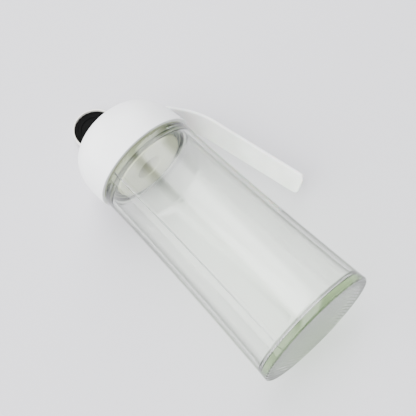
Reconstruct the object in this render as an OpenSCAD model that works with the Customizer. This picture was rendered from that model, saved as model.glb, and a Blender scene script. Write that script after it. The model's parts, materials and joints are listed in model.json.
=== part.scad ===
// Glass water bottle with a domed screw-on head, a small flip lid and a
// flexible carrying strap. Millimetres, standing upright, +Z up.
// The origin is the centre of the face it stands on. The lid hinges on the
// +Y side and is modelled open; the strap leaves on the +X side.

/* [Glass] */
// Radius of the glass at its base
base_r = 40.4; // [38:0.1:42]
// Radius of the glass where it meets the head
shoulder_r = 33.6; // [33:0.1:34.5]
// Height from the base to the lower edge of the domed head
head_z = 145.5; // [138:0.5:158]
// Thickness of the glass wall
glass_t = 3; // [2:0.1:4]
// Thickness of the glass floor
floor_t = 5; // [3.4:0.1:6]
// Radius of the rounded edge at the foot of the glass
heel_r = 1.4; // [1:0.1:3]
// Depth of the hollow under the base
push_up = 0.8; // [0.5:0.1:1.6]

/* [Neck] */
// Outer radius of the neck, without its thread
neck_r = 27.2; // [26.8:0.1:27.4]
// Radius of the opening through the neck
bore_r = 24.2; // [20:0.1:24.4]
// Height of the neck above the shoulder
neck_h = 11.5; // [11:0.1:12]
// Rise of the screw thread in one turn
pitch = 4; // [3.8:0.1:4.2]
// How far each thread stands out from its wall
thread_h = 1.1; // [0.9:0.05:1.15]

/* [Domed head] */
// Radius of the dome at its lower edge
dome_r = 35; // [34.8:0.1:36]
// Height of the dome above its lower edge
dome_h = 36.4; // [36:0.1:38]
// How far the top of the dome leans away from the strap
dome_lean = 2.6; // [1.5:0.1:3]
// Thickness of the dome's wall
dome_t = 2.4; // [2:0.1:2.6]
// Outer radius of the drinking spout
spout_r = 11.4; // [10.5:0.1:11.5]
// Radius of the passage through the spout
spout_bore_r = 8.8; // [7:0.1:9]

/* [Flip lid] */
// Outer radius of the lid
lid_r = 14.8; // [14.6:0.1:15]
// Depth of the cup inside the lid
lid_cup = 1.6; // [1.5:0.1:1.8]
// Distance of the hinge pin from the bottle's axis
hinge_y = 23.4; // [23.2:0.1:23.6]
// Radius of the hinge pin
pin_r = 1; // [0.8:0.1:1.1]

/* [Strap] */
// Width of the strap
strap_w = 18; // [14:1:20]
// Thickness of the strap
strap_t = 2.2; // [1.8:0.1:2.4]
// Free length of the strap, from where it leaves the dome
strap_l = 111; // [108:1:118]
// Side of the bottle it leaves on, turned from +X towards the lid hinge
strap_angle = 18; // [0:1:25]

/* [Hidden] */
$fn = 96;
far = 100;            // longer than any cut needs

// glass
shoulder_arc = 2.2;                   // rounding of the glass under the head
shoulder_z = head_z - 0.2;            // top of the shoulder, where the neck starts
rim_z = shoulder_z + neck_h;          // top of the glass
foot_r = base_r - heel_r;             // outer edge of the face it stands on
hollow_r = 36;                        // outer edge of the hollow underneath
inner_corner = 3;                     // rounding inside, between floor and wall
floor_rise = 1;                       // how far the floor rises towards its middle
inner_turn = 5.6;                     // height of the inside curve under the shoulder
flare_power = 1.5;                    // how late the wall spreads towards the base

// screw thread
thread_turns = 1.25;
thread_steps = 12;                    // steps in one turn
thread_z = shoulder_z + 3.5;          // where the neck's thread starts
thread_half = 0.6;                    // half of a thread's height at its root
thread_gap = 0.35;                    // free play between the threads and the walls
collar_in = neck_r + thread_h + thread_gap;
collar_out = collar_in + 1.8;
collar_z = head_z + 0.3;
gasket_t = 2;
gasket_z = rim_z + 0.1;
web_z = gasket_z + gasket_t;          // underside of the collar's top
web_t = 2.5;
plug_r = bore_r - 0.3;                // plug that fills the neck, with the passage through it
plug_z = head_z - 4;

// spout and its seat in the dome
seal_t = 0.8;
flange_z = web_z + web_t + seal_t;
flange_t = 2;
flange_r = 15.5;
seat_z = head_z + dome_h - 3.3;       // flat seat that the closed lid drops into
seat_r = lid_r + 0.8;
spout_z = seat_z + 1.2;
lip_r = 0.8;

// lid, drawn closed and then swung open about its hinge
dome_power = 0.68;                    // 1 would be an ellipse; less is squarer
lid_z = seat_z + 0.3;                 // lower edge of the closed lid
lid_floor_z = lid_z + lid_cup;        // black inner face of the lid
lid_top_z = lid_floor_z + 3;
lid_wall = 0.8;
insert_t = 1.2;
hinge_z = 198.6 - hinge_y + (head_z - 145.5);
knuckle_r = 2.6;
knuckle_w = 8;
side_gap = 0.4;
ear_w = 3.8;
pin_l = 2 * (knuckle_w / 2 + side_gap + ear_w - 0.6);
arm_r = 2.2;
arm_bend = [hinge_y - 1.7, hinge_z + 5.1];
arm_end = [lid_r + 0.2, lid_top_z - arm_r - 0.1];

// strap route, in the upright plane it lies in: [distance from the axis, height]
leave_a = 45.4;                       // place on the dome where it leaves
dome_gap = 0.2;
root_l = 9.5;                         // length that lies on the dome
root_bend = 25;                       // radius of that stretch
straight_l = 19;                      // straight stretch after leaving
strap_bend = 46;                      // radius of the curve that turns it down
end_heading = 14;                     // direction of its last stretch, out from straight down
flex_s = [6, 40, 74];                 // where it bends, along its length
flex_gap = 0.4;
button_a = 53;                        // place on the dome of the button
button_r = 4;
stem_r = 1.6;

function body_r(z) = shoulder_r + (base_r - shoulder_r) * pow(1 - z / head_z, flare_power);
function arc(c, rx, rz, from, to, n = 8) =
    [for (i = [0:n]) let (a = from + (to - from) * i / n) [c[0] + rx * cos(a), c[1] + rz * sin(a)]];

// points on the upright dome, by angle up from its lower edge
function dome_pt(a, inset = 0) = [(dome_r - inset) * pow(cos(a), dome_power),
                                  head_z + (dome_h - inset) * pow(sin(a), dome_power)];
function dome_side(inset) = [for (a = [0:5:90]) dome_pt(min(a, 89.999), inset)];
// the same once it leans, on the side the strap leaves from
function leaned_pt(a) = dome_pt(a) - [dome_lean * pow(sin(a), dome_power), 0];
function leaned_heading(a) = atan2(
    dome_r * pow(cos(a), dome_power - 1) * sin(a) + dome_lean * pow(sin(a), dome_power - 1) * cos(a),
    dome_h * pow(sin(a), dome_power - 1) * cos(a));

// a curve that starts at p with heading h (degrees out from straight down) and turns k degrees a mm
function walk(p, h, k, s) = abs(k) < 0.001
    ? p + s * [sin(h), -cos(h)]
    : p + 180 / PI / k * [cos(h) - cos(h + k * s), sin(h) - sin(h + k * s)];

leave_h = leaned_heading(leave_a);
leave_p = leaned_pt(leave_a) + (strap_t / 2 + dome_gap) * [cos(leave_h), sin(leave_h)];
root_k = -180 / PI / root_bend;
bend_k = -180 / PI / strap_bend;
bend_l = (end_heading - leave_h) / bend_k;
bend_p = walk(leave_p, leave_h, 0, straight_l);
last_p = walk(bend_p, leave_h, bend_k, bend_l);
function strap_pt(s) = s < 0 ? walk(leave_p, leave_h, root_k, s)
    : s < straight_l ? walk(leave_p, leave_h, 0, s)
    : s < straight_l + bend_l ? walk(bend_p, leave_h, bend_k, s - straight_l)
    : walk(last_p, end_heading, 0, s - straight_l - bend_l);
function strap_heading(s) = leave_h + (s < 0 ? root_k * s
    : bend_k * max(0, min(bend_l, s - straight_l)));
function strap_edge(s, side) = strap_pt(s)
    + side * strap_t / 2 * [cos(strap_heading(s)), sin(strap_heading(s))];

module tube(r_out, r_in, z, h) {
    translate([0, 0, z]) difference() {
        cylinder(r = r_out, h = h);
        translate([0, 0, -1]) cylinder(r = r_in, h = h + 2);
    }
}

// a screw thread made of short level steps; side is 1 outside a wall, -1 inside it
module thread(wall_r, z, side) {
    step = 360 / thread_steps;
    for (i = [0:thread_turns * thread_steps - 1])
        translate([0, 0, z + pitch * i / thread_steps]) rotate([0, 0, i * step])
            rotate_extrude(angle = step)
                polygon([[wall_r - side * 0.3, -thread_half], [wall_r + side * thread_h, -thread_half / 2],
                         [wall_r + side * thread_h, thread_half / 2], [wall_r - side * 0.3, thread_half]]);
}

// a round-ended bar between two points of the Y-Z plane
module bar(a, b, r) {
    d = b - a;
    translate(a) circle(r);
    translate(b) circle(r);
    translate(a) rotate(atan2(d[1], d[0])) translate([0, -r]) square([norm(d), 2 * r]);
}

module across(w) rotate([90, 0, 90]) linear_extrude(w, center = true) children();

module swing_open() translate([0, hinge_y, hinge_z]) rotate([-90, 0, 0])
    translate([0, -hinge_y, -hinge_z]) children();

// leans whatever is drawn upright, about the dome's lower edge
module lean() {
    out = dome_lean / dome_h * [cos(strap_angle), sin(strap_angle)];
    multmatrix([[1, 0, -out[0], out[0] * head_z],
                [0, 1, -out[1], out[1] * head_z],
                [0, 0, 1, 0],
                [0, 0, 0, 1]]) children();
}

module glass_body() {
    side_top = shoulder_z - shoulder_arc;
    wall_top = side_top - 5.2;
    flat_r = body_r(floor_t + inner_corner) - glass_t - inner_corner;
    outside = concat(
        arc([foot_r, heel_r], heel_r, heel_r, -90, 0, 6),
        [for (i = [1:14]) let (z = heel_r + (side_top - heel_r) * i / 14) [body_r(z), z]],
        arc([body_r(side_top) - shoulder_arc, side_top], shoulder_arc, shoulder_arc, 15, 90, 6),
        [[neck_r + 0.8, shoulder_z], [neck_r, shoulder_z + 0.8]],
        arc([neck_r - 1.2, rim_z - 1.2], 1.2, 1.2, 0, 90, 5));
    inside = concat(
        arc([bore_r + 1, rim_z - 1], 1, 1, 90, 180, 4),
        arc([bore_r, wall_top], body_r(wall_top) - glass_t - bore_r, inner_turn, 90, 0, 8),
        [for (i = [13:-1:1]) let (z = floor_t + inner_corner + (wall_top - floor_t - inner_corner) * i / 14)
            [body_r(z) - glass_t, z]],
        arc([flat_r, floor_t + inner_corner], inner_corner, inner_corner, 0, -90, 6),
        [for (i = [1:8]) let (out = 1 - i / 8) [flat_r * out, floor_t + floor_rise * (1 - pow(out, 4))]]);
    hollow = [for (i = [0:8]) let (r = hollow_r * i / 8) [r, push_up * (1 - pow(i / 8, 4))]];
    color([0.8, 0.88, 0.84, 0.5]) {
        rotate_extrude() polygon(concat(outside, inside, hollow));
        thread(neck_r, thread_z, 1);
    }
}

module neck_gasket()
    color("ivory") tube(neck_r + 1.2, bore_r, gasket_z, gasket_t);

module inner_collar() {
    color("white") {
        tube(collar_out, collar_in, collar_z, web_z - collar_z + 0.5);
        tube(collar_out, spout_bore_r, web_z, web_t);
        tube(plug_r, spout_bore_r, plug_z, web_z - plug_z + 0.5);
        tube(dome_r - dome_t - 0.3, collar_out - 0.5, collar_z, 2);
        thread(collar_in, thread_z - pitch / 2, -1);
    }
}

module dome_cover() {
    ear_x = knuckle_w / 2 + side_gap;
    color("whitesmoke") difference() {
        union() {
            lean() difference() {
                rotate_extrude() polygon(concat([[0, head_z]], dome_side(0)));
                translate([0, 0, -0.001]) rotate_extrude() polygon(concat([[0, head_z]], dome_side(dome_t)));
            }
            intersection() {
                union() {
                    translate([0, 0, seat_z - 4]) cylinder(r = seat_r + 1.6, h = 8);
                    translate([-9, 12, hinge_z - 5.5]) cube([18, 18, 20]);
                }
                lean() rotate_extrude() polygon(concat([[0, head_z]], dome_side(0.5)));
            }
            translate([0, hinge_y, hinge_z]) rotate([0, 90, 0])
                cylinder(r = knuckle_r, h = 2 * (ear_x + ear_w), center = true);
        }
        translate([0, 0, seat_z]) cylinder(r = seat_r, h = far);
        cylinder(r = spout_r + 0.2, h = far * 3);
        across(2 * ear_x) polygon([[hinge_y - 3.6, hinge_z - 3.2], [hinge_y + 20, hinge_z - 3.2],
            [hinge_y + 20, far * 3], [seat_r - 2, far * 3], [seat_r - 2, seat_z], [hinge_y - 3.6, hinge_z + 1.2]]);
        translate([0, hinge_y, hinge_z]) rotate([0, 90, 0])
            cylinder(r = pin_r + 0.01, h = pin_l + 0.1, center = true);
        on_dome(button_a) cylinder(r = stem_r + 0.05, h = 20, center = true);
    }
}

module on_dome(a) {
    p = leaned_pt(a);
    rotate([0, 0, strap_angle]) translate([p[0], 0, p[1]]) rotate([0, 90 - leaned_heading(a), 0]) children();
}

module spout() {
    color("white") rotate_extrude() polygon(concat(
        [[spout_bore_r, flange_z], [flange_r, flange_z], [flange_r, flange_z + flange_t],
         [spout_r, flange_z + flange_t]],
        arc([spout_r - lip_r, spout_z - lip_r], lip_r, lip_r, 0, 90, 5),
        arc([spout_bore_r + lip_r, spout_z - lip_r], lip_r, lip_r, 90, 180, 5)));
}

module spout_seal()
    color("ivory") tube(flange_r, spout_bore_r + 1, web_z + web_t, seal_t);

module hinge_pin()
    color("silver") translate([0, hinge_y, hinge_z]) rotate([0, 90, 0])
        cylinder(r = pin_r, h = pin_l, center = true);

module lid_shell() {
    edge_r = 1.4;
    color("ivory") swing_open() difference() {
        union() {
            rotate_extrude() polygon(concat(
                [[0, lid_floor_z + insert_t], [lid_r - lid_wall, lid_floor_z + insert_t],
                 [lid_r - lid_wall, lid_z], [lid_r, lid_z]],
                arc([lid_r - edge_r, lid_top_z - edge_r], edge_r, edge_r, 0, 90, 6),
                [[0, lid_top_z]]));
            difference() {
                across(knuckle_w) {
                    bar([hinge_y, hinge_z], arm_bend, arm_r);
                    bar(arm_bend, arm_end, arm_r);
                    translate([hinge_y, hinge_z]) circle(knuckle_r);
                }
                cylinder(r = lid_r - lid_wall / 2, h = far * 3);
            }
        }
        translate([0, hinge_y, hinge_z]) rotate([0, 90, 0])
            cylinder(r = pin_r + 0.05, h = far, center = true);
    }
}

module lid_insert() {
    color("black") swing_open() difference() {
        translate([0, 0, lid_floor_z]) cylinder(r = lid_r - lid_wall - 0.05, h = insert_t);
        tube(spout_r + 0.3, spout_bore_r + 0.5, lid_floor_z - 1, 1.3);
    }
}

module lid_seal()
    color([0.15, 0.15, 0.15]) swing_open() tube(spout_r + 0.2, spout_bore_r + 0.6, lid_floor_z - 0.4, 0.7);

module strap_button() {
    top = strap_t + 2 * dome_gap;
    color("white") on_dome(button_a) {
        translate([0, 0, top]) rotate_extrude() polygon(concat([[0, 0], [button_r, 0], [button_r, 0.5]],
            arc([button_r - 0.8, 0.5], 0.8, 0.8, 0, 90, 5), [[0, 1.3]]));
        translate([0, 0, -5]) cylinder(r = stem_r, h = top + 5.2);
    }
}

module strap_retainer()
    color("silver") on_dome(button_a) translate([0, 0, -4]) difference() {
        cylinder(r = 3.4, h = 0.8);
        translate([0, 0, -1]) cylinder(r = stem_r + 0.02, h = 3);
    }

// one stretch of the strap, from s = a to s = b; a bending end is rounded about its own line
module band(a, b, round_start) {
    n = ceil((b - a) / 3);
    s = [for (i = [0:n]) a + (b - a) * i / n];
    start_h = strap_heading(a);
    round_end = arc(strap_pt(a), strap_t / 2, strap_t / 2, start_h + 165, start_h + 15, 10);
    rotate([0, 0, strap_angle]) rotate([90, 0, 0]) linear_extrude(strap_w, center = true)
        polygon(concat([for (v = s) strap_edge(v, 1)], [for (i = [n:-1:0]) strap_edge(s[i], -1)],
                       round_start ? round_end : []));
}

module strap_root() {
    color("white") difference() {
        band(-root_l, flex_s[0] - strap_t / 2 - flex_gap, false);
        on_dome(button_a) cylinder(r = stem_r + 0.1, h = 20, center = true);
    }
}

module strap_inner() color("white") band(flex_s[0], flex_s[1] - strap_t / 2 - flex_gap, true);
module strap_middle() color("white") band(flex_s[1], flex_s[2] - strap_t / 2 - flex_gap, true);
module strap_tip() color("white") band(flex_s[2], strap_l, true);

glass_body();
neck_gasket();
inner_collar();
dome_cover();
spout();
spout_seal();
hinge_pin();
lid_shell();
lid_insert();
lid_seal();
strap_button();
strap_retainer();
strap_root();
strap_inner();
strap_middle();
strap_tip();
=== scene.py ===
"""Looks for the glass water bottle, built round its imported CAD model.

Everything is in metres, in the row's own frame: the bottle stands on z = 0 and +Z runs up its axis,
the lid hinges on the +Y side and the strap hangs on the +X side. The photographed bottle lies on its
side, so the floor is a plane along the +Y side of the glass and the camera is turned to suit.
"""
import json
import math

import bmesh
import bpy
from mathutils import Matrix, Vector


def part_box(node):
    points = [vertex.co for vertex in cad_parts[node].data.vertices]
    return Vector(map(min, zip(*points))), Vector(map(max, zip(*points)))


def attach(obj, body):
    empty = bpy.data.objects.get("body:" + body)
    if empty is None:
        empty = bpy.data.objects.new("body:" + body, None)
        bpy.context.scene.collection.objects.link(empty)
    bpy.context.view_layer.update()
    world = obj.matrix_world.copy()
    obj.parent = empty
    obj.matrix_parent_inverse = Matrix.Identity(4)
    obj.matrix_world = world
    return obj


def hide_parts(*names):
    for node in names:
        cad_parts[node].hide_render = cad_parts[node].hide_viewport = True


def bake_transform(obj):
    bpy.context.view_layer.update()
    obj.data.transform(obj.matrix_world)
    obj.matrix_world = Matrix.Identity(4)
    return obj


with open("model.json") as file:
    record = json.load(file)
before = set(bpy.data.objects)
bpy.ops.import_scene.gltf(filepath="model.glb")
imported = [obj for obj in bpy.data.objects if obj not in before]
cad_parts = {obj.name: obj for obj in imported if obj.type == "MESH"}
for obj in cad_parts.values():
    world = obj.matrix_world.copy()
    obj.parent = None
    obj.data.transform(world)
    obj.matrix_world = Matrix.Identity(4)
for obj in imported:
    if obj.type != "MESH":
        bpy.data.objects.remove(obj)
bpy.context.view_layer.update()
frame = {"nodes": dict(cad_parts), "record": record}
MM = 0.001

# ---------------------------------------------------------------- sizes, some from the CAD nodes
JOINTS = {joint["name"]: joint for joint in frame["record"]["behaviour"]["joints"]}


def top_z(node):
    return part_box(node)[1][2]


def low_z(node):
    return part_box(node)[0][2]


def half_width(node):
    low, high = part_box(node)
    return (high[0] - low[0]) / 2


BASE_R = half_width("glass_body")
RIM_Z = top_z("glass_body")
HEAD_Z = low_z("dome_cover")
DOME_R = 35 * MM
DOME_H = 36.4 * MM
DOME_LEAN = 2.6 * MM
SHOULDER_R = 33.6 * MM
SHOULDER_Z = HEAD_Z - 0.2 * MM
SHOULDER_ARC = 2.2 * MM
NECK_R = 27.2 * MM
BORE_R = 24.2 * MM
GLASS_T = 3 * MM
FLOOR_T = 5 * MM
FLOOR_CORNER = 3 * MM
FLOOR_RISE = 1 * MM
FLOOR_POWER = 4  # flat in the middle, curved near the edge
HEEL_R = 1.4 * MM
HOLLOW_R = 36 * MM
HOLLOW_POWER = 4
PUSH_UP = 0.8 * MM
KNURLS = 120
KNURL_H = 0.22 * MM
SEAMS = [(math.radians(-135), 0.5 * MM), (math.radians(45), 0.06 * MM)]
SEAM_HALF = math.radians(1)
PLUG_R = BORE_R - 0.3 * MM
PLUG_Z = HEAD_Z - 4 * MM
PITCH = 4 * MM
THREAD_H = 1.1 * MM
THREAD_HALF = 0.75 * MM
THREAD_CREST = 1.35  # above 1, the crest is flat
THREAD_FADE = 0.06  # the part of a turn over which each end fades
THREAD_TURNS = 1.25
THREAD_Z = SHOULDER_Z + 3.5 * MM
DOME_T = 2.4 * MM
DOME_POWER = 0.68  # below 1, the dome is squarer than an ellipse
DOME_SPACING = 0.55  # spaces the outline's points more evenly
SPOUT_TOP = top_z("spout")
SPOUT_R = 11.4 * MM
SPOUT_BORE = 8.8 * MM
SEAT_Z = SPOUT_TOP - 1.2 * MM
SEAT_T = 3.6 * MM
LID_R = half_width("lid_shell")
SEAT_R = LID_R + 0.8 * MM
LID_WALL = 0.8 * MM
LID_CUP = 1.6 * MM
LID_Z = SEAT_Z + 0.3 * MM
LID_FLOOR = LID_Z + LID_CUP
LID_TOP = LID_FLOOR + 3 * MM
INSERT_T = 1.2 * MM
HINGE = Vector(JOINTS["lid_hinge"]["pos_m"])
KNUCKLE_R = 2.6 * MM
KNUCKLE_W = 8 * MM
EAR_END = 8.2 * MM
STRAP_W = 18 * MM
STRAP_T = 2.2 * MM
STRAP_CORNER = 3.6 * MM
STRAP_EDGE = 0.95 * MM
STRAP_L = 111 * MM
STRAP_ROOT = 9.5 * MM
STRAP_ANGLE = math.radians(18)


# ---------------------------------------------------------------- outlines
def rounded(corners, steps=6):
    """A closed outline from (r, z, radius) corners, each rounded to about its own radius."""
    outline = []
    for i, (x, z, radius) in enumerate(corners):
        here = Vector((x, z))
        to_last = Vector(corners[i - 1][:2]) - here
        to_next = Vector(corners[(i + 1) % len(corners)][:2]) - here
        if radius <= 0:
            outline.append((x, z))
            continue
        turn = to_last.angle(to_next)
        reach = min(radius / math.tan(turn / 2), 0.49 * to_last.length, 0.49 * to_next.length)
        first = here + to_last.normalized() * reach
        last = here + to_next.normalized() * reach
        for step in range(steps + 1):
            t = step / steps
            point = first * (1 - t) ** 2 + here * 2 * t * (1 - t) + last * t ** 2
            outline.append((point.x, point.y))
    return outline


def arc(centre, rx, rz, start, end, steps=8):
    """Points of an ellipse's arc between two angles in degrees."""
    points = []
    for step in range(steps + 1):
        angle = math.radians(start + (end - start) * step / steps)
        points.append((centre[0] + rx * math.cos(angle), centre[1] + rz * math.sin(angle)))
    return points


def body_r(z):
    """Outer radius of the glass wall, which spreads towards the base."""
    return SHOULDER_R + (BASE_R - SHOULDER_R) * (1 - z / HEAD_Z) ** 1.5


def dome_point(angle, inset=0.0):
    """A point of the upright dome's outline, by angle up from its lower edge."""
    return ((DOME_R - inset) * abs(math.cos(angle)) ** DOME_POWER,
            HEAD_Z + (DOME_H - inset) * math.sin(angle) ** DOME_POWER)


def leaned_r(angle, r, z):
    """How far the leaning dome's ring of radius r at height z is from the axis, at an angle round it."""
    shift = DOME_LEAN * (z - HEAD_Z) / DOME_H
    away = angle - STRAP_ANGLE - math.pi
    return shift * math.cos(away) + math.sqrt(r * r - (shift * math.sin(away)) ** 2)


def leaned_side(angle, inset, first, last_r, steps):
    """The leaning dome's outline at one angle, from about first metres up it and in to last_r."""
    start = math.asin((first / DOME_H) ** (1 / DOME_POWER))
    low, high = start, math.radians(89)
    for _ in range(40):
        middle = (low + high) / 2
        if leaned_r(angle, *dome_point(middle, inset)) > last_r:
            low = middle
        else:
            high = middle
    start, end = start ** DOME_SPACING, low ** DOME_SPACING
    side = []
    for step in range(steps + 1):
        r, z = dome_point((start + (end - start) * step / steps) ** (1 / DOME_SPACING), inset)
        side.append((leaned_r(angle, r, z), z))
    return side


def strap_side(angle):
    """A point of the leaning dome on the strap's side, and its direction out from straight down."""
    r, z = dome_point(angle)
    lean = DOME_LEAN * math.sin(angle) ** DOME_POWER
    fall = (DOME_R * math.cos(angle) ** (DOME_POWER - 1) * math.sin(angle)
            + DOME_LEAN * math.sin(angle) ** (DOME_POWER - 1) * math.cos(angle))
    rise = DOME_H * math.sin(angle) ** (DOME_POWER - 1) * math.cos(angle)
    return (r - lean, z), math.atan2(fall, rise)


# ---------------------------------------------------------------- meshes
def add_mesh(name, bm, smooth_angle=35):
    """Links a finished bmesh to the scene as one piece, with its doubles merged."""
    bmesh.ops.remove_doubles(bm, verts=bm.verts, dist=1e-7)
    bmesh.ops.recalc_face_normals(bm, faces=bm.faces)
    mesh = bpy.data.meshes.new(name)
    bm.to_mesh(mesh)
    bm.free()
    piece = bpy.data.objects.new(name, mesh)
    bpy.context.scene.collection.objects.link(piece)
    shade(piece, smooth_angle)
    return piece


def shade(piece, smooth_angle=35):
    """Smooth shading that keeps the edges sharper than smooth_angle degrees."""
    bm = bmesh.new()
    bm.from_mesh(piece.data)
    for face in bm.faces:
        face.smooth = True
    for edge in bm.edges:
        sharp = len(edge.link_faces) != 2 or edge.calc_face_angle(0) > math.radians(smooth_angle)
        edge.smooth = not sharp
    bm.to_mesh(piece.data)
    bm.free()


def revolve(name, outline, angles=144, relief=None):
    """A turned piece from a closed (r, z) outline, or from a function that gives one for each angle.

    relief(angle, r, z) returns a changed (r, z).
    """
    if isinstance(angles, int):
        angles = [2 * math.pi * i / angles for i in range(angles)]
    outline_at = outline if callable(outline) else lambda angle: outline
    outline = outline_at(0.0)
    bm = bmesh.new()
    rings = []
    for angle in angles:
        ring = []
        for r, z in outline_at(angle):
            if relief is not None:
                r, z = relief(angle, r, z)
            ring.append(bm.verts.new((r * math.cos(angle), r * math.sin(angle), z)))
        rings.append(ring)
    for i, ring in enumerate(rings):
        after = rings[(i + 1) % len(rings)]
        for j in range(len(outline)):
            k = (j + 1) % len(outline)
            if outline[j][0] < 1e-7 and outline[k][0] < 1e-7:
                continue
            bm.faces.new((ring[j], after[j], after[k], ring[k]))
    bmesh.ops.remove_doubles(bm, verts=bm.verts, dist=1e-7)
    bmesh.ops.dissolve_degenerate(bm, edges=bm.edges, dist=1e-8)
    return add_mesh(name, bm)


def prism(name, outline, width, bevel=0.0):
    """A piece with a (y, z) outline, centred across X."""
    bm = bmesh.new()
    left = [bm.verts.new((-width / 2, y, z)) for y, z in outline]
    right = [bm.verts.new((width / 2, y, z)) for y, z in outline]
    ends = [bm.faces.new(left), bm.faces.new(right)]
    for i in range(len(outline)):
        j = (i + 1) % len(outline)
        bm.faces.new((left[i], left[j], right[j], right[i]))
    if bevel:
        rims = list({edge for face in ends for edge in face.edges})
        bmesh.ops.bevel(bm, geom=rims, offset=bevel, segments=3, profile=0.5, affect="EDGES")
    return add_mesh(name, bm)


def combine(piece, other, operation, smooth_angle=35):
    """Adds the other mesh to the piece or cuts it away, and removes the other object."""
    modifier = piece.modifiers.new("combine", "BOOLEAN")
    modifier.object = other
    modifier.operation = operation
    modifier.solver = "EXACT"
    graph = bpy.context.evaluated_depsgraph_get()
    mesh = bpy.data.meshes.new_from_object(piece.evaluated_get(graph))
    piece.modifiers.clear()
    piece.data = mesh
    bpy.data.objects.remove(other)
    shade(piece, smooth_angle)


def finish_piece(piece, body, slot, material, *nodes):
    """Gives a piece its material, the body it rides on and the CAD nodes it stands for. The slot is not
    used.
    """
    piece.data.materials.clear()
    piece.data.materials.append(material)
    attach(piece, body)
    if nodes:
        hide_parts(*nodes)


# ---------------------------------------------------------------- materials
def new_material(name, color, roughness, **inputs):
    """A material, its nodes, its links and its shader. Other sockets are set by their names."""
    material = bpy.data.materials.new(name)
    material.use_nodes = True
    shader = material.node_tree.nodes["Principled BSDF"]
    shader.inputs["Base Color"].default_value = (*color, 1)
    shader.inputs["Roughness"].default_value = roughness
    for key, value in inputs.items():
        shader.inputs[key.replace("_", " ").title().replace("Ior", "IOR")].default_value = value
    return material, material.node_tree.nodes, material.node_tree.links, shader


def noise(nodes, links, scale, detail=4.0, stretch=(1, 1, 1)):
    """A noise texture in object space, stretched along the axes where asked."""
    place = nodes.new("ShaderNodeTexCoord")
    mapping = nodes.new("ShaderNodeMapping")
    mapping.inputs["Scale"].default_value = stretch
    texture = nodes.new("ShaderNodeTexNoise")
    texture.inputs["Scale"].default_value = scale
    texture.inputs["Detail"].default_value = detail
    links.new(place.outputs["Object"], mapping.inputs["Vector"])
    links.new(mapping.outputs["Vector"], texture.inputs["Vector"])
    return texture.outputs["Fac"]


def ramp(nodes, links, source, low, high, start=0.3, end=0.7):
    """Runs a value through a ramp between two colours."""
    node = nodes.new("ShaderNodeValToRGB")
    node.color_ramp.elements[0].position = start
    node.color_ramp.elements[1].position = end
    node.color_ramp.elements[0].color = (*low, 1)
    node.color_ramp.elements[1].color = (*high, 1)
    links.new(source, node.inputs["Fac"])
    return node.outputs["Color"]


def span(nodes, links, source, low, high):
    """Maps a 0 to 1 value onto low to high."""
    node = nodes.new("ShaderNodeMapRange")
    node.inputs["To Min"].default_value = low
    node.inputs["To Max"].default_value = high
    links.new(source, node.inputs["Value"])
    return node.outputs["Result"]


LINES_TURN = math.radians(28)
LINES_SCALE = 125
LINES_WOBBLE = 0.6
LINES_FULL_Z = 0.9 * MM
LINES_TOP_Z = 1.2 * MM


def underside_lines(nodes, links):
    """Fine straight lines in object space, only on what lies under the glass."""
    place = nodes.new("ShaderNodeTexCoord")
    mapping = nodes.new("ShaderNodeMapping")
    mapping.inputs["Rotation"].default_value = (0, 0, LINES_TURN)
    lines = nodes.new("ShaderNodeTexWave")
    lines.inputs["Scale"].default_value = LINES_SCALE
    lines.inputs["Distortion"].default_value = LINES_WOBBLE
    links.new(place.outputs["Object"], mapping.inputs["Vector"])
    links.new(mapping.outputs["Vector"], lines.inputs["Vector"])
    split = nodes.new("ShaderNodeSeparateXYZ")
    links.new(place.outputs["Object"], split.inputs["Vector"])
    below = nodes.new("ShaderNodeMapRange")
    below.inputs["From Min"].default_value = LINES_TOP_Z
    below.inputs["From Max"].default_value = LINES_FULL_Z
    links.new(split.outputs["Z"], below.inputs["Value"])
    masked = nodes.new("ShaderNodeMath")
    masked.operation = "MULTIPLY"
    links.new(lines.outputs["Fac"], masked.inputs[0])
    links.new(below.outputs["Result"], masked.inputs[1])
    return masked.outputs["Value"]


def bump(nodes, links, shader, height, strength, distance):
    """Adds a bump to the shader, on top of any bump that it has."""
    node = nodes.new("ShaderNodeBump")
    if shader.inputs["Normal"].is_linked:
        links.new(shader.inputs["Normal"].links[0].from_socket, node.inputs["Normal"])
    node.inputs["Strength"].default_value = strength
    node.inputs["Distance"].default_value = distance
    links.new(height, node.inputs["Height"])
    links.new(node.outputs["Normal"], shader.inputs["Normal"])


def moulded(name, low, high, roughness, grain, **inputs):
    """Moulded plastic or silicone: a faint mottle, uneven gloss and a fine surface grain."""
    material, nodes, links, shader = new_material(name, high, roughness[0], **inputs)
    cloud = noise(nodes, links, 60, 5)
    links.new(ramp(nodes, links, cloud, low, high), shader.inputs["Base Color"])
    gloss = noise(nodes, links, 240, 3)
    links.new(span(nodes, links, gloss, *roughness), shader.inputs["Roughness"])
    fine = noise(nodes, links, grain, 2)
    bump(nodes, links, shader, fine, 0.25, 0.00004)
    return material


# Painted shade: the glass's colour runs from white to this dark olive where its surface is seen edge on.
GLASS_PAINTED_EDGE_SHADE = (0.03, 0.05, 0.018)
GLASS_TINT = (0.52, 0.63, 0.4)
GLASS_DENSITY = 32
GLASS_SHADOW = (0.93, 0.95, 0.92)


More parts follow.
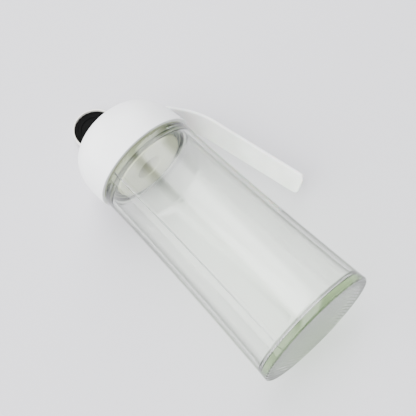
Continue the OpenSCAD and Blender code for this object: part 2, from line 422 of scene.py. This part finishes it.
def glass():
    """Clear soda glass: green where it is thick, with painted dark shade where it is seen edge on, and a
    moulded wall's slight ripple.
    """
    material, nodes, links, shader = new_material(
        "clear_glass", (1, 1, 1), 0.0, transmission_weight=1.0, ior=1.5)
    ripple = noise(nodes, links, 26, 1, (1, 1, 0.35))
    bump(nodes, links, shader, ripple, 0.35, 1.6 * MM)
    bump(nodes, links, shader, underside_lines(nodes, links), 1.0, 0.4 * MM)
    # Painted shade: the colour turns dark olive where the surface is seen edge on.
    facing = nodes.new("ShaderNodeLayerWeight").outputs["Facing"]
    links.new(ramp(nodes, links, facing, (1, 1, 1), GLASS_PAINTED_EDGE_SHADE, 0.54, 0.77), shader.inputs["Base Color"])
    smear = noise(nodes, links, 90, 4)
    links.new(span(nodes, links, smear, 0.0, 0.03), shader.inputs["Roughness"])
    path = nodes.new("ShaderNodeLightPath")
    clear = nodes.new("ShaderNodeBsdfTransparent")
    clear.inputs["Color"].default_value = (*GLASS_SHADOW, 1)
    mix = nodes.new("ShaderNodeMixShader")
    links.new(path.outputs["Is Shadow Ray"], mix.inputs["Fac"])
    links.new(shader.outputs["BSDF"], mix.inputs[1])
    links.new(clear.outputs["BSDF"], mix.inputs[2])
    tint = nodes.new("ShaderNodeVolumeAbsorption")
    tint.inputs["Color"].default_value = (*GLASS_TINT, 1)
    tint.inputs["Density"].default_value = GLASS_DENSITY
    output = nodes["Material Output"]
    links.new(mix.outputs["Shader"], output.inputs["Surface"])
    links.new(tint.outputs["Volume"], output.inputs["Volume"])
    return material


def steel():
    """Drawn steel, with fine scratches along X."""
    material, nodes, links, shader = new_material("drawn_steel", (0.62, 0.62, 0.63), 0.3, metallic=1.0)
    drawn = noise(nodes, links, 900, 3, (0.05, 1, 1))
    links.new(span(nodes, links, drawn, 0.22, 0.42), shader.inputs["Roughness"])
    bump(nodes, links, shader, drawn, 0.2, 0.00002)
    return material


CLEAR_GLASS = glass()
WHITE_PLASTIC = moulded("white_plastic", (0.82, 0.82, 0.82), (0.87, 0.87, 0.87), (0.36, 0.46), 2600)
# Painted shade: the collar inside the dome is a dark olive grey, standing for white plastic in shade seen
# through the glass.
SHADED_INNER_PLASTIC = moulded("inner_plastic", (0.43, 0.44, 0.3), (0.48, 0.49, 0.35), (0.45, 0.55), 2600)
# Painted shade: the lid's plastic is a beige, darker than the white plastic, standing for white plastic in
# shade.
SHADED_LID_PLASTIC = moulded("lid_plastic", (0.74, 0.71, 0.65), (0.8, 0.78, 0.72), (0.36, 0.46), 2600)
BLACK = ((0.0015, 0.0015, 0.0015), (0.003, 0.003, 0.003))
BLACK_PLASTIC = moulded("black_plastic", *BLACK, (0.6, 0.72), 3200, specular_ior_level=0.05)
BLACK_SILICONE = moulded("black_silicone", *BLACK, (0.65, 0.75), 2200, specular_ior_level=0.05)
WHITE_SILICONE = moulded("white_silicone", (0.82, 0.82, 0.815), (0.97, 0.97, 0.965), (0.45, 0.6), 1800,
                         subsurface_weight=0.25, subsurface_scale=0.002)
SEAL_SILICONE = moulded("seal_silicone", (0.66, 0.67, 0.63), (0.74, 0.75, 0.71), (0.4, 0.5), 1800,
                        subsurface_weight=0.3, subsurface_scale=0.002)
STEEL = steel()


# ---------------------------------------------------------------- glass body
def thread_height(angle, z, start_z):
    """How far a smooth screw thread stands out at this angle and height, from 0 to 1."""
    height = 0.0
    for turn in range(math.ceil(THREAD_TURNS)):
        along = angle / (2 * math.pi) + turn
        if along > THREAD_TURNS:
            continue
        ends = min(1.0, along / THREAD_FADE, (THREAD_TURNS - along) / THREAD_FADE)
        offset = abs(z - start_z - PITCH * along) / THREAD_HALF
        height = max(height, ends * max(0.0, min(1.0, THREAD_CREST * (1 - offset ** 2))))
    return height


def glass_relief(angle, r, z):
    """Mould seams on the wall, a knurled ring under the base and the thread on the neck."""
    if z > SHOULDER_Z + 1 * MM and r > NECK_R - 0.1 * MM:
        r += THREAD_H * thread_height(angle, z, THREAD_Z)
    elif HEEL_R < z < SHOULDER_Z - 1 * MM and r > body_r(z) - 0.2 * MM:
        for seam, height in SEAMS:
            away = abs((angle - seam + math.pi) % (2 * math.pi) - math.pi)
            r += height * max(0.0, 1 - away / SEAM_HALF)
    elif z < 0.6 * MM and HOLLOW_R - 1.5 * MM < r < BASE_R - HEEL_R + 0.2 * MM:
        z += KNURL_H * (0.5 - 0.5 * math.cos(KNURLS * angle))
    return r, z


def glass_body():
    """The bottle, turned from one outline: base, wall, shoulder, neck, bore, inner wall and floor."""
    side_top = SHOULDER_Z - SHOULDER_ARC
    wall_top = side_top - 5.2 * MM
    floor_top = FLOOR_T + FLOOR_CORNER
    foot = BASE_R - HEEL_R
    neck_low = SHOULDER_Z + 1.3 * MM
    neck_high = RIM_Z - 1.4 * MM
    neck_fillet = 1 * MM
    rim_out, rim_in = 1.2 * MM, 1 * MM
    inner_r = body_r(wall_top) - GLASS_T
    rise_r = body_r(floor_top) - GLASS_T - FLOOR_CORNER
    outline = [(0, PUSH_UP)]
    outline += [(HOLLOW_R * i / 20, PUSH_UP * (1 - (i / 20) ** HOLLOW_POWER)) for i in range(1, 21)]
    outline += [(foot - 2 * MM, 0), (foot - 1 * MM, 0)]
    outline += arc((foot, HEEL_R), HEEL_R, HEEL_R, -90, 0, 10)
    outline += [(body_r(z), z) for z in [HEEL_R + (side_top - HEEL_R) * i / 50 for i in range(1, 51)]]
    outline += arc((body_r(side_top) - SHOULDER_ARC, side_top), SHOULDER_ARC, SHOULDER_ARC, 9, 90, 9)
    outline += arc((NECK_R + neck_fillet, SHOULDER_Z + neck_fillet), neck_fillet, neck_fillet, 270, 180, 5)
    outline += [(NECK_R, neck_low + (neck_high - neck_low) * i / 40) for i in range(41)]
    outline += arc((NECK_R - rim_out, RIM_Z - rim_out), rim_out, rim_out, 5, 90, 6)
    outline += arc((BORE_R + rim_in, RIM_Z - rim_in), rim_in, rim_in, 90, 180, 6)
    outline += arc((BORE_R, wall_top), inner_r - BORE_R, 5.6 * MM, 90, 0, 14)
    outline += [(body_r(z) - GLASS_T, z)
                for z in [wall_top + (floor_top - wall_top) * i / 40 for i in range(1, 40)]]
    outline += arc((rise_r, floor_top), FLOOR_CORNER, FLOOR_CORNER, 0, -90, 10)
    for i in range(1, 25):
        out = 1 - i / 24
        outline.append((rise_r * out, FLOOR_T + FLOOR_RISE * (1 - out ** FLOOR_POWER)))
    angles = [math.radians(i) for i in range(360)]
    for seam, _ in SEAMS:
        angles += [seam % (2 * math.pi) + SEAM_HALF * step for step in (-1, -0.5, 0.5, 1)]
    return revolve("bottle_glass", outline, sorted(angles), glass_relief)


finish_piece(glass_body(), "bottle", "clear_glass", CLEAR_GLASS, "glass_body")


# ---------------------------------------------------------------- head
def dome_turned():
    """The domed cover as turned, with the seat that the lid closes into."""
    inner_r = DOME_R - DOME_T
    lip_top = HEAD_Z + 1.2 * MM
    lip = rounded([(inner_r, HEAD_Z, 0.5 * MM), (DOME_R, HEAD_Z, 0.5 * MM), (DOME_R, lip_top, 0),
                   (inner_r, lip_top, 0)])[:-2]
    hole_r = SPOUT_R + 0.2 * MM
    under = SEAT_Z - SEAT_T

    def outline(angle):
        outside = leaned_side(angle, 0, 1.4 * MM, SEAT_R + 0.35 * MM, 72)
        inside = leaned_side(angle, DOME_T, 1.4 * MM, SEAT_R + 2.2 * MM, 48)
        edge_z = outside[-1][1]
        top = rounded([(SEAT_R + 0.9 * MM, edge_z + 0.1 * MM, 0), (SEAT_R, edge_z + 0.3 * MM, 0.3 * MM),
                       (SEAT_R, SEAT_Z, 0.3 * MM), (hole_r, SEAT_Z, 0.2 * MM),
                       (hole_r, under, 0.3 * MM), (SEAT_R + 1.6 * MM, under, 0.3 * MM)], 4)[1:]
        return lip + outside + top + inside[::-1]
    return revolve("dome_cover_shell", outline, 216)


def hinge_boss():
    """What fills the dome round the hinge: a block cut back to just under the dome's outside."""
    near, far = 12 * MM, 30 * MM
    low, high = HINGE.z - 5.5 * MM, HINGE.z + 14 * MM
    boss = prism("boss", [(near, low), (far, low), (far, high), (near, high)], 18 * MM)
    start = 10 * MM
    axis_side = SEAT_R + 0.9 * MM

    def outline(angle):
        side = leaned_side(angle, 0.5 * MM, start, SEAT_R + 1 * MM, 48)
        return [(axis_side, HEAD_Z + start)] + side + [(axis_side, side[-1][1] - 0.1 * MM)]
    combine(boss, revolve("filling", outline, 144), "INTERSECT")
    return boss


def hinge_pocket():
    """The space in the dome that the lid's knuckle and arm swing through."""
    y, z = HINGE.y, HINGE.z
    back, front = y + 20 * MM, y - 3.6 * MM
    seat = SEAT_R - 2 * MM
    low, high = z - 3.2 * MM, z + 60 * MM
    outline = rounded([(front, low, 1 * MM), (back, low, 0), (back, high, 0), (seat, high, 0),
                       (seat, SEAT_Z, 0), (front, z + 1.2 * MM, 0.5 * MM)])
    return prism("pocket", outline, 2 * (KNUCKLE_W / 2 + 0.4 * MM))


def dome():
    cover = dome_turned()
    combine(cover, hinge_boss(), "UNION")
    combine(cover, tube_across("ears", KNUCKLE_R, EAR_END), "UNION")
    combine(cover, hinge_pocket(), "DIFFERENCE")
    return cover


def tube_across(name, radius, end):
    """A rod along the hinge line with softly rounded ends."""
    outline = rounded([(0, -end, 0), (radius, -end, 0.5 * MM), (radius, end, 0.5 * MM), (0, end, 0)])
    rod = revolve(name, outline, 64)
    rod.data.transform(Matrix.Translation(HINGE) @ Matrix.Rotation(math.radians(90), 4, "Y"))
    return rod


def collar():
    """The threaded collar inside the dome, with its lower flange and the plug that fills the neck."""
    inner = NECK_R + THREAD_H + 0.35 * MM
    outer = inner + 1.8 * MM
    low = HEAD_Z + 0.3 * MM
    web = RIM_Z + 2.1 * MM
    flange = DOME_R - DOME_T - 0.3 * MM
    wall = [(inner, web - 0.4 * MM - (web - low - 1 * MM) * i / 48) for i in range(49)]
    rest = rounded([(inner, low, 0.4 * MM), (flange, low, 0.4 * MM), (flange, low + 2 * MM, 0.4 * MM),
                    (outer, low + 2 * MM, 0.4 * MM), (outer, web + 2.5 * MM, 0.5 * MM),
                    (SPOUT_BORE, web + 2.5 * MM, 0.3 * MM), (SPOUT_BORE, PLUG_Z, 0.8 * MM),
                    (PLUG_R, PLUG_Z, 1.5 * MM), (PLUG_R, web, 0.1 * MM), (inner, web, 0.2 * MM)], 4)
    start = THREAD_Z - PITCH / 2

    def relief(angle, r, z):
        if low + 0.5 * MM < z < web - 0.3 * MM and r < inner + 0.1 * MM:
            r -= THREAD_H * thread_height(angle, z, start)
        return r, z
    return revolve("screw_collar", rest + wall, 180, relief)


def ring(name, low, high, inner, outer, edge, angles=144):
    return revolve(name, rounded([(inner, low, edge), (outer, low, edge), (outer, high, edge),
                                  (inner, high, edge)]), angles)


def neck_ring():
    return ring("neck_seal_ring", low_z("neck_gasket"), top_z("neck_gasket"), BORE_R,
                half_width("neck_gasket"), 0.5 * MM)


def spout():
    low = low_z("spout")
    flange = half_width("spout")
    return revolve("drinking_spout", rounded([
        (SPOUT_BORE, low, 0.3 * MM), (flange, low, 0.3 * MM), (flange, low + 2 * MM, 0.4 * MM),
        (SPOUT_R, low + 2 * MM, 0.8 * MM), (SPOUT_R, SPOUT_TOP - 0.7 * MM, 0.5 * MM),
        (SPOUT_R - 0.5 * MM, SPOUT_TOP, 0.6 * MM), (SPOUT_BORE, SPOUT_TOP, 0.9 * MM)], 7), 160)


finish_piece(dome(), "head", "white_plastic", WHITE_PLASTIC, "dome_cover")
finish_piece(collar(), "head", "inner_plastic", SHADED_INNER_PLASTIC, "inner_collar")
finish_piece(spout(), "head", "white_plastic", WHITE_PLASTIC, "spout")
finish_piece(neck_ring(), "gasket", "seal_silicone", SEAL_SILICONE, "neck_gasket")


# ---------------------------------------------------------------- lid
# The lid's pieces are drawn shut, and this swings them open about the hinge, as the row stands.
SWING_OPEN = (Matrix.Translation(HINGE) @ Matrix.Rotation(math.radians(-90), 4, "X")
              @ Matrix.Translation(-HINGE))


def bar_sides(points):
    """The two sides of a bent arm that follows (y, z, half thickness) points."""
    left, right = [], []
    for i, (y, z, half) in enumerate(points):
        before = points[max(i - 1, 0)]
        after = points[min(i + 1, len(points) - 1)]
        along = Vector((after[0] - before[0], after[1] - before[1])).normalized()
        left.append((y - along.y * half, z + along.x * half))
        right.append((y + along.y * half, z - along.x * half))
    return left, right


def lid_arm():
    """The curved arm from the hinge's knuckle to the lid's edge, drawn with the lid closed."""
    start = Vector((HINGE.y, HINGE.z))
    bend = Vector((HINGE.y - 0.4 * MM, HINGE.z + 7.2 * MM))
    end = Vector((LID_R - 1.2 * MM, LID_TOP - 2.3 * MM))
    centre = []
    for step in range(17):
        t = step / 16
        point = start * (1 - t) ** 2 + bend * 2 * t * (1 - t) + end * t ** 2
        centre.append((point.x, point.y, (2.3 - 0.2 * t) * MM))
    left, right = bar_sides(centre)
    return prism("arm", left + right[::-1], KNUCKLE_W, 0.6 * MM)


def lid_shell():
    """The lid's round cup with its arm and the knuckle that turns on the pin."""
    edge = 1.4 * MM
    cup_floor = LID_FLOOR + INSERT_T
    shell = revolve("lid_cover", rounded([
        (0, cup_floor, 0), (LID_R - LID_WALL, cup_floor, 0),
        (LID_R - LID_WALL, LID_Z, 0.25 * MM), (LID_R, LID_Z, 0.3 * MM), (LID_R, LID_TOP - 0.2 * MM, edge),
        (LID_R * 0.6, LID_TOP, 4 * MM), (0, LID_TOP, 0)], 8), 180)
    arm = lid_arm()
    low, high = LID_Z - 5 * MM, cup_floor + 0.4 * MM
    hollow_r = LID_R - LID_WALL / 2
    hollow = revolve("hollow", [(0, low), (hollow_r, low), (hollow_r, high), (0, high)], 180)
    combine(arm, hollow, "DIFFERENCE")
    combine(shell, arm, "UNION")
    combine(shell, tube_across("knuckle", KNUCKLE_R, KNUCKLE_W / 2), "UNION")
    combine(shell, tube_across("pin_bore", 1.05 * MM, 3 * KNUCKLE_W), "DIFFERENCE")
    shell.data.transform(SWING_OPEN)
    return shell


def lid_insert():
    """The black inner face: a shallow dish with a groove for the seal and a small moulding gate."""
    r = LID_R - LID_WALL - 0.05 * MM
    groove_in, groove_out = SPOUT_BORE + 0.5 * MM, SPOUT_R + 0.3 * MM
    dish = revolve("lid_lining", rounded([
        (0, LID_FLOOR + 0.15 * MM, 0), (1.3 * MM, LID_FLOOR + 0.15 * MM, 0.1 * MM),
        (1.5 * MM, LID_FLOOR, 0.1 * MM), (groove_in, LID_FLOOR, 0.12 * MM),
        (groove_in, LID_FLOOR + 0.3 * MM, 0.05 * MM), (groove_out, LID_FLOOR + 0.3 * MM, 0.05 * MM),
        (groove_out, LID_FLOOR, 0.12 * MM), (r, LID_FLOOR, 0.3 * MM),
        (r, LID_FLOOR + INSERT_T, 0.1 * MM), (0, LID_FLOOR + INSERT_T, 0)], 4), 160)
    dish.data.transform(SWING_OPEN)
    return dish


def lid_seal():
    seal = ring("lid_seal_ring", LID_FLOOR - 0.4 * MM, LID_FLOOR + 0.3 * MM, SPOUT_BORE + 0.6 * MM,
                SPOUT_R + 0.2 * MM, 0.34 * MM, 160)
    seal.data.transform(SWING_OPEN)
    return seal


finish_piece(lid_shell(), "lid", "lid_plastic", SHADED_LID_PLASTIC, "lid_shell")
finish_piece(lid_insert(), "lid", "black_plastic", BLACK_PLASTIC, "lid_insert")
finish_piece(lid_seal(), "lid", "black_silicone", BLACK_SILICONE, "lid_seal")


# ---------------------------------------------------------------- strap
BUTTON_ANGLE = math.radians(53)
BUTTON_R = 4 * MM
STEM_R = 1.6 * MM
LEAVE_POINT, LEAVE_HEADING = strap_side(math.radians(45.4))
END_HEADING = math.radians(14)
STRAIGHT = 19 * MM
BEND_R = 46 * MM
ROOT_BEND = 25 * MM
HUG_R = 42 * MM
HUG_L = 10 * MM
BAND_STEP = 1.2 * MM
ROUND_END_STEPS = (0.12, 0.35, 0.7, 1.1, 1.6, 2.2, 2.9, 3.6)
BEND_L = BEND_R * (LEAVE_HEADING - END_HEADING)


def walk(point, heading, turn, length):
    """Moves along a curve that turns by turn radians a metre. heading is out from straight down."""
    if abs(turn) < 1e-6:
        return (point[0] + length * math.sin(heading), point[1] - length * math.cos(heading))
    after = heading + turn * length
    return (point[0] + (math.cos(heading) - math.cos(after)) / turn,
            point[1] + (math.sin(heading) - math.sin(after)) / turn)


def strap_place(s):
    """The strap's middle line at length s: (distance from the axis, height) and heading."""
    gap = STRAP_T / 2 + 0.2 * MM
    r, z = LEAVE_POINT
    start = (r + gap * math.cos(LEAVE_HEADING), z + gap * math.sin(LEAVE_HEADING))
    if s < 0:
        return walk(start, LEAVE_HEADING, -1 / ROOT_BEND, s), LEAVE_HEADING - s / ROOT_BEND
    if s < STRAIGHT:
        return walk(start, LEAVE_HEADING, 0, s), LEAVE_HEADING
    bend = walk(start, LEAVE_HEADING, 0, STRAIGHT)
    if s < STRAIGHT + BEND_L:
        turned = s - STRAIGHT
        return walk(bend, LEAVE_HEADING, -1 / BEND_R, turned), LEAVE_HEADING - turned / BEND_R
    last = walk(bend, LEAVE_HEADING, -1 / BEND_R, BEND_L)
    return walk(last, END_HEADING, 0, s - STRAIGHT - BEND_L), END_HEADING


def strap_point(s, across=0.0, out=0.0):
    """A point of the strap in space: along it, across it, and out from its middle surface."""
    (r, z), heading = strap_place(s)
    r += out * math.cos(heading)
    z += out * math.sin(heading)
    side = Vector((-math.sin(STRAP_ANGLE), math.cos(STRAP_ANGLE), 0))
    return Vector((r * math.cos(STRAP_ANGLE), r * math.sin(STRAP_ANGLE), z)) + side * across


def section(s):
    """The strap's cross-section at s: a rounded band that hugs the dome near its root."""
    to_end = min(STRAP_L - s, s + STRAP_ROOT)
    half = STRAP_W / 2
    if to_end < STRAP_CORNER:
        half -= STRAP_CORNER - math.sqrt(max(0.0, STRAP_CORNER ** 2 - (STRAP_CORNER - to_end) ** 2))
    taper = max(0.0, 0.8 * MM - to_end)
    thick = STRAP_T / 2 - 0.45 * taper
    hug = max(0.0, min(1.0, 1 - s / HUG_L)) / (2 * HUG_R)
    points = []
    for across, out in rounded([(-half, -thick, STRAP_EDGE), (half, -thick, STRAP_EDGE),
                                (half, thick, STRAP_EDGE), (-half, thick, STRAP_EDGE)], 5):
        points.append((across, out - hug * across ** 2))
    full = []
    for i, (across, out) in enumerate(points):
        full.append((across, out))
        next_across = points[(i + 1) % len(points)][0]
        if abs(next_across - across) > STRAP_W / 3:
            face = math.copysign(thick, out + hug * across ** 2)
            for step in range(1, 6):
                x = across + (next_across - across) * (step / 6)
                full.append((x, face - hug * x ** 2))
    return full


def band(name, start, end):
    """One closed stretch of the strap, with closer sections where its end is round."""
    count = max(2, round((end - start) / BAND_STEP))
    places = {start + (end - start) * i / count for i in range(count + 1)}
    for limit, sign in ((STRAP_L, -1), (-STRAP_ROOT, 1)):
        if start <= limit <= end:
            places |= {limit + sign * step * MM for step in ROUND_END_STEPS}
    bm = bmesh.new()
    rings = []
    for s in sorted(places):
        rings.append([bm.verts.new(strap_point(s, across, out)) for across, out in section(s)])
    size = len(rings[0])
    for low, high in zip(rings, rings[1:]):
        for i in range(size):
            j = (i + 1) % size
            bm.faces.new((low[i], low[j], high[j], high[i]))
    bm.faces.new(rings[0])
    bm.faces.new(rings[-1][::-1])
    return add_mesh(name, bm, 50)


def on_dome(angle):
    """The place and tilt of what stands on the dome at an angle up it, on the strap's side."""
    (r, z), heading = strap_side(angle)
    return (Matrix.Rotation(STRAP_ANGLE, 4, "Z") @ Matrix.Translation((r, 0, z))
            @ Matrix.Rotation(math.radians(90) - heading, 4, "Y"))


def stem_hole():
    """The hole in the strap that the button's stem goes through."""
    r = STEM_R + 0.1 * MM
    low, high = -3 * MM, 6 * MM
    hole = revolve("stem_hole", [(0, low), (r, low), (r, high), (0, high)], 48)
    hole.data.transform(on_dome(BUTTON_ANGLE))
    return hole


def strap_stretch(name, start, end, bend, reach, nodes):
    """A stretch of the strap from start to end, in white silicone, standing for the CAD nodes, which it
    hides. The points at reach either side of bend are worked out and not used.
    """
    piece = band(name, start, end)
    if start < 0:  # only the root lies on the dome
        combine(piece, stem_hole(), "DIFFERENCE", 50)
    piece.data.materials.clear()
    piece.data.materials.append(WHITE_SILICONE)
    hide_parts(*nodes)
    tuple(strap_point(bend - reach))
    tuple(strap_point(bend + reach))
    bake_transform(piece)


strap_stretch("strap_upper", -STRAP_ROOT, 23 * MM, 6 * MM, 6 * MM,
              ("strap_root", "strap_inner"))
strap_stretch("strap_centre", 23 * MM, 57 * MM, 40 * MM, 12 * MM, ("strap_middle",))
strap_stretch("strap_end", 57 * MM, STRAP_L, 74 * MM, 12 * MM, ("strap_tip",))


def strap_button():
    """The round button that holds the strap on the dome, with its stem."""
    top = STRAP_T + 0.4 * MM
    button = revolve("strap_stud", rounded([
        (0, -5 * MM, 0), (STEM_R, -5 * MM, 0.3 * MM), (STEM_R, top, 0.1 * MM), (BUTTON_R, top, 0.3 * MM),
        (BUTTON_R, top + 0.9 * MM, 0.6 * MM), (2.6 * MM, top + 1.3 * MM, 0.4 * MM),
        (2.2 * MM, top + 1.05 * MM, 0.3 * MM), (0, top + 1.05 * MM, 0)]), 72)
    button.data.transform(on_dome(BUTTON_ANGLE))
    return button


finish_piece(strap_button(), "head", "white_plastic", WHITE_PLASTIC, "strap_button")
# These three stay as their CAD solids.
for node, material in (("hinge_pin", STEEL), ("strap_retainer", STEEL), ("spout_seal", SEAL_SILICONE)):
    part = frame["nodes"][node]
    part.data.materials.clear()
    part.data.materials.append(material)

# ---------------------------------------------------------------- stage
# The floor lies along the side of the bottle that faces +Y, and shows only from the bottle's side.
FLOOR_HALF = 0.55
FLOOR_GAP = 0.1 * MM
TOUCH_LOW = Vector((0, BASE_R, HEEL_R))
TOUCH_HIGH = Vector((0, DOME_R, HEAD_Z))
FLOOR_ALONG = (TOUCH_HIGH - TOUCH_LOW).normalized()
FLOOR_UP = Vector((1, 0, 0)).cross(FLOOR_ALONG).normalized()


def floor_material():
    """Plain and pale from above, and clear from below so that views from behind see the bottle."""
    material, nodes, links, shader = new_material("pale_floor", (0.565, 0.555, 0.58), 0.42)
    geometry = nodes.new("ShaderNodeNewGeometry")
    hidden = nodes.new("ShaderNodeBsdfTransparent")
    mix = nodes.new("ShaderNodeMixShader")
    links.new(geometry.outputs["Backfacing"], mix.inputs["Fac"])
    links.new(shader.outputs["BSDF"], mix.inputs[1])
    links.new(hidden.outputs["BSDF"], mix.inputs[2])
    links.new(mix.outputs["Shader"], nodes["Material Output"].inputs["Surface"])
    return material


def make_floor():
    bm = bmesh.new()
    middle = TOUCH_LOW - FLOOR_UP * FLOOR_GAP
    corners = [middle + Vector((1, 0, 0)) * (FLOOR_HALF * i) + FLOOR_ALONG * (FLOOR_HALF * j)
               for i, j in ((-1, -1), (1, -1), (1, 1), (-1, 1))]
    face = bm.faces.new([bm.verts.new(corner) for corner in corners])
    face.normal_update()
    if face.normal.dot(FLOOR_UP) < 0:
        face.normal_flip()
    mesh = bpy.data.meshes.new("floor")
    bm.to_mesh(mesh)
    bm.free()
    floor = bpy.data.objects.new("floor", mesh)
    bpy.context.scene.collection.objects.link(floor)
    floor.data.materials.append(floor_material())


# ---------------------------------------------------------------- room
# Brightness runs from low to high over a step, which is a span of the cosine to the direction named.
# The window is a band along the line through two directions, each (azimuth, elevation) in degrees.
ROOM_COLOR = (0.97, 0.982, 1)
ROOM_LOW = 0.55
ROOM_HIGH = 1.1
ROOM_STEP = (-0.1, 0.8)
WINDOW_HIGH = (-81, 22)
WINDOW_LOW = (-101.7, 8)
WINDOW_NEAR = (-0.3, -0.16)
WINDOW_FAR = (0.1, 0.24)
WINDOW_ENDS = (0.3, 0.7)
WINDOW_LEVEL = 9
SIDE_LIGHT = (-160, 25)
SIDE_STEP = (0.7, 0.95)
SIDE_LEVEL = 6.5


def direction(azimuth, elevation):
    azimuth, elevation = math.radians(azimuth), math.radians(elevation)
    return Vector((math.cos(elevation) * math.cos(azimuth), math.cos(elevation) * math.sin(azimuth),
                   math.sin(elevation)))


def sky():
    """A pale room that brightens towards straight above the floor, with a soft window and side light."""
    world = bpy.data.worlds.new("room")
    world.use_nodes = True
    bpy.context.scene.world = world
    nodes, links = world.node_tree.nodes, world.node_tree.links
    place = nodes.new("ShaderNodeTexCoord")

    def toward(vector):
        node = nodes.new("ShaderNodeVectorMath")
        node.operation = "DOT_PRODUCT"
        node.inputs[1].default_value = vector
        links.new(place.outputs["Generated"], node.inputs[0])
        return node.outputs["Value"]

    def soft_step(value, start, end, low, high):
        node = nodes.new("ShaderNodeMapRange")
        node.interpolation_type = "SMOOTHSTEP"
        node.inputs["From Min"].default_value = start
        node.inputs["From Max"].default_value = end
        node.inputs["To Min"].default_value = low
        node.inputs["To Max"].default_value = high
        links.new(value, node.inputs["Value"])
        return node.outputs["Result"]

    def combined(operation, first, second):
        node = nodes.new("ShaderNodeMath")
        node.operation = operation
        links.new(first, node.inputs[0])
        links.new(second, node.inputs[1])
        return node.outputs["Value"]

    ceiling = soft_step(toward(FLOOR_UP), *ROOM_STEP, ROOM_LOW, ROOM_HIGH)
    high_end, low_end = direction(*WINDOW_HIGH), direction(*WINDOW_LOW)
    across = high_end.cross(low_end).normalized()
    near_edge = soft_step(toward(across), *WINDOW_NEAR, 0, 1)
    far_edge = soft_step(toward(across), *WINDOW_FAR, 1, 0)
    ends = soft_step(toward((high_end + low_end).normalized()), *WINDOW_ENDS, 0, WINDOW_LEVEL)
    window = combined("MULTIPLY", combined("MULTIPLY", near_edge, far_edge), ends)
    side = soft_step(toward(direction(*SIDE_LIGHT)), *SIDE_STEP, 0, SIDE_LEVEL)
    background = nodes["Background"]
    background.inputs["Color"].default_value = (*ROOM_COLOR, 1)
    lights = combined("ADD", window, side)
    links.new(combined("ADD", ceiling, lights), background.inputs["Strength"])


make_floor()
sky()

# ---------------------------------------------------------------- camera
CAMERA_TURN = math.radians(-105)
CAMERA_REACH = 0.552
CAMERA_Z = -0.080
CAMERA_PITCH = math.radians(17.8)
CAMERA_YAW = math.radians(0.69)
CAMERA_ROLL = math.radians(45.9)
CAMERA_LENS = 84.4


def make_camera():
    """Stands off from the axis, turned and pitched towards the bottle, then rolled about its own view."""
    data = bpy.data.cameras.new("camera")
    data.lens = CAMERA_LENS
    data.sensor_width = 36
    data.clip_start = 0.01
    camera = bpy.data.objects.new("camera", data)
    outward = Vector((math.cos(CAMERA_TURN), math.sin(CAMERA_TURN), 0))
    level = -outward
    level.rotate(Matrix.Rotation(-CAMERA_YAW, 3, "Z"))
    forward = level * math.cos(CAMERA_PITCH) + Vector((0, 0, math.sin(CAMERA_PITCH)))
    right = level.cross(Vector((0, 0, 1))).normalized()
    up = right.cross(forward)
    roll = Matrix.Rotation(CAMERA_ROLL, 3, forward)
    right.rotate(roll)
    up.rotate(roll)
    axes = Matrix((right, up, -forward)).transposed()
    place = outward * CAMERA_REACH + Vector((0, 0, CAMERA_Z))
    camera.matrix_world = Matrix.Translation(place) @ axes.to_4x4()
    bpy.context.scene.collection.objects.link(camera)
    bpy.context.scene.camera = camera


make_camera()
